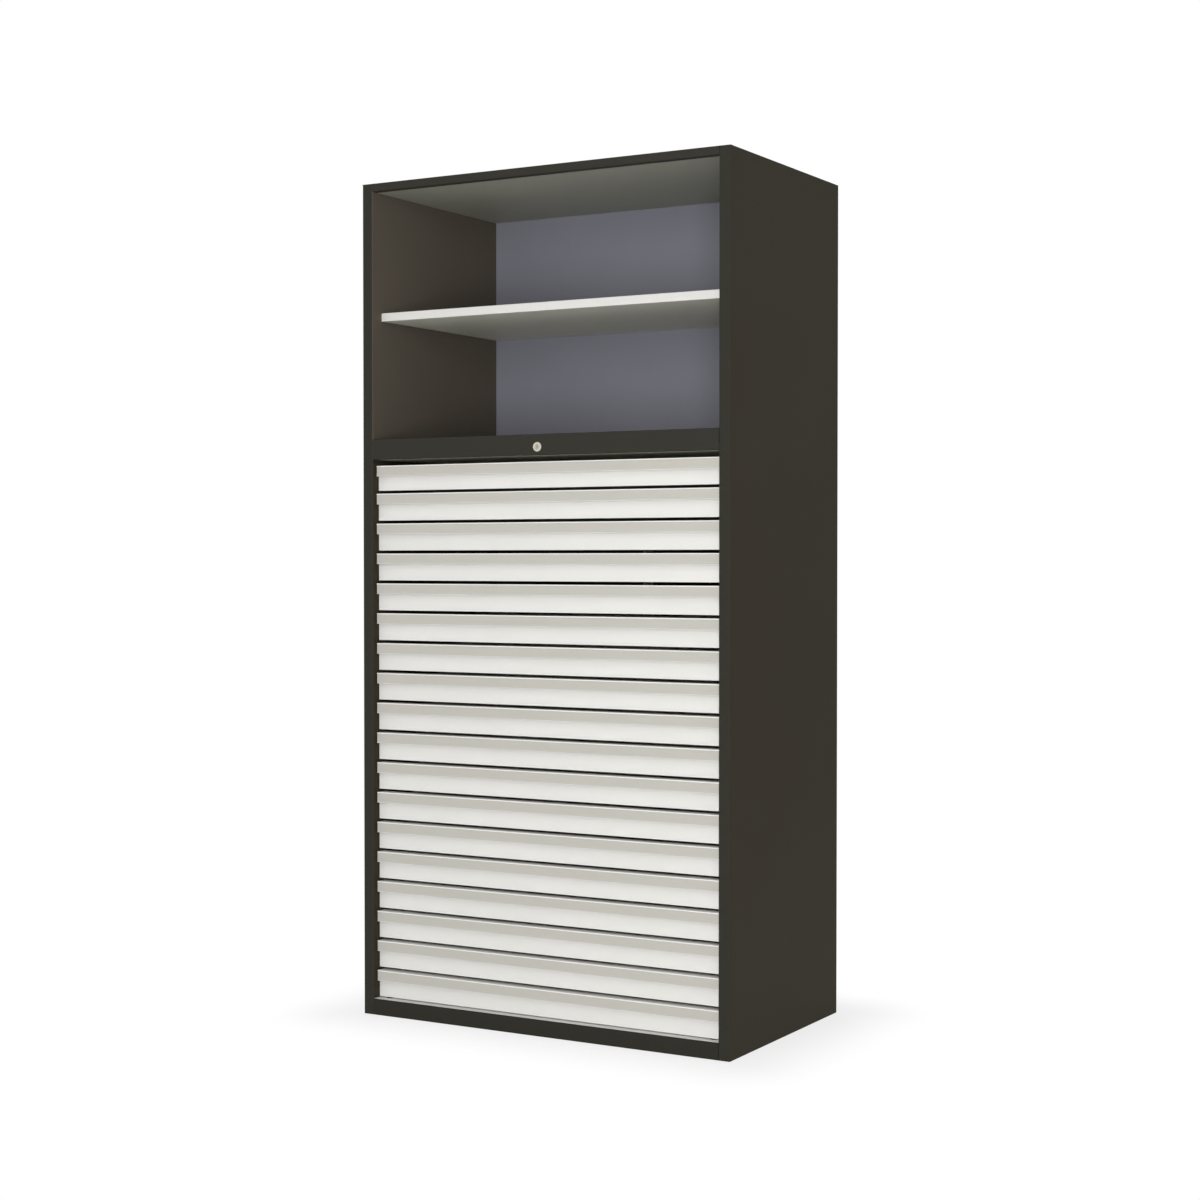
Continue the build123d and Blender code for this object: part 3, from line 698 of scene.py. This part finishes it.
floor_span, floor_level, floor_cells = 14.0, -0.0004, 8
floor_points, floor_faces = rolled_floor(floor_span, floor_level, floor_cells)
floor_mesh = bpy.data.meshes.new("studio_floor")
floor_mesh.from_pydata(floor_points.tolist(), [], floor_faces)
floor = bpy.data.objects.new("studio_floor", floor_mesh)
bpy.context.scene.collection.objects.link(floor)

shadow_reach = 0.26
shadow_light = 0.76
paper = bpy.data.materials.new("floor_paper")
paper.use_nodes = True
paper_tree = paper.node_tree
paper_tree.nodes.remove(paper_tree.nodes["Principled BSDF"])
matt = put(paper_tree, "ShaderNodeBsdfDiffuse", {"Color": (0.88, 0.88, 0.88, 1.0)})
white = put(paper_tree, "ShaderNodeEmission", {"Color": (1.0, 1.0, 1.0, 1.0), "Strength": 1.0})
# The box's height as the third size keeps the floor's own depth out of the distance.
away = past_base(paper_tree, tuple(cad_high))
fade = {"Value": away, "From Min": 0.0, "From Max": shadow_reach, "To Min": shadow_light, "To Max": 1.0}
glow = put(paper_tree, "ShaderNodeMapRange", fade, interpolation_type="SMOOTHSTEP").outputs["Result"]
clear_of_base = reckon(paper_tree, "GREATER_THAN", away, 0.0)
own_light = reckon(paper_tree, "MULTIPLY", seen_directly(paper_tree), glow)
own_light = reckon(paper_tree, "MULTIPLY", own_light, clear_of_base)
paper_mix = put(paper_tree, "ShaderNodeMixShader", {0: own_light, 1: matt.outputs[0], 2: white.outputs[0]})
fill(paper_tree, paper_tree.nodes["Material Output"], {"Surface": paper_mix.outputs[0]})
floor_mesh.materials.append(paper)
print(f"floor {2 * floor_span:.0f} m wide, with a shadow that reaches {shadow_reach} m")

# %% [markdown]
# ## World
#
# Beyond the floor's edge the camera and the reflections see a white world, like a photographer's paper that
# goes on up the wall. For all other rays the world is a calm, slightly warm grey, which fills the shadows
# a little.

# %% Calm world
world = bpy.data.worlds.new("studio")
bpy.context.scene.world = world
world.use_nodes = True
sky = world.node_tree
sky.nodes.clear()
calm_strength = 0.3
calm = put(sky, "ShaderNodeBackground", {"Color": (1.0, 0.995, 0.98, 1.0), "Strength": calm_strength})
clear = put(sky, "ShaderNodeBackground", {"Color": (1.0, 1.0, 1.0, 1.0), "Strength": 1.0})
sky_mix = put(sky, "ShaderNodeMixShader", {0: seen_directly(sky), 1: calm.outputs[0], 2: clear.outputs[0]})
put(sky, "ShaderNodeOutputWorld", {"Surface": sky_mix.outputs[0]})
print(f"world of strength {calm_strength} behind the lamps")

# %% [markdown]
# ## Lamps
#
# Four soft boxes give the even light of a catalogue picture. A low and a high one stand beside the camera and
# a little behind it, so that the open compartment and the lowest drawers get as much as the rest. One stands
# behind the cabinet for its back and left side, and a large one hangs high in front for all upper faces.


# %% Soft boxes
def soft_box(name, place, target, size, power):
    """Square area lamp at place, turned about Z and then tilted so that it shines at target."""
    lamp = bpy.data.lights.new(name, "AREA")
    lamp.shape = "SQUARE"
    lamp.size = size
    lamp.energy = power
    lamp_object = bpy.data.objects.new(name, lamp)
    aim = np.array(target) - np.array(place)
    turn = math.atan2(aim[1], aim[0]) - math.pi / 2
    tilt = math.atan2(aim[2], math.hypot(aim[0], aim[1])) + math.pi / 2
    lamp_object.location = place
    lamp_object.rotation_euler = Euler((tilt, 0.0, turn))
    lamp_object.visible_camera = False
    bpy.context.scene.collection.objects.link(lamp_object)
    return lamp


boxes = [
    soft_box("box_low", (2.8, -5.2, 0.55), (0.0, -0.3, 0.6), size=1.4, power=116.0),
    soft_box("box_high", (3.1, -6.5, 2.6), (0.0, -0.3, 0.9), size=2.2, power=120.0),
    soft_box("box_behind", (-3.4, 4.6, 2.4), (0.0, 0.3, 1.05), size=2.6, power=90.0),
    soft_box("box_above", (0.0, -5.6, 8.2), (0.0, -0.3, 0.9), size=3.8, power=160.0),
]
print(f"{len(boxes)} soft boxes, {sum(lamp.energy for lamp in boxes):.0f} W in all")

# %% [markdown]
# ## Camera
#
# The lens stands a little above half the cabinet's height and looks almost level, from the right of the
# front, so upright edges stay upright and the cabinet's right side shows.

# %% Camera
lens = bpy.data.cameras.new("camera")
lens.sensor_width = 36.0
lens.lens = 62.87
camera = bpy.data.objects.new("camera", lens)
camera.location = (2.65962, -4.60382, 1.15662)
camera.rotation_euler = Euler((math.radians(88.866), 0.0, math.radians(30.03)))
bpy.context.scene.collection.objects.link(camera)
bpy.context.scene.camera = camera
bpy.context.scene.view_settings.view_transform = "Standard"
print(f"camera {math.dist(camera.location, (0, 0, 1)):.2f} m from the cabinet")
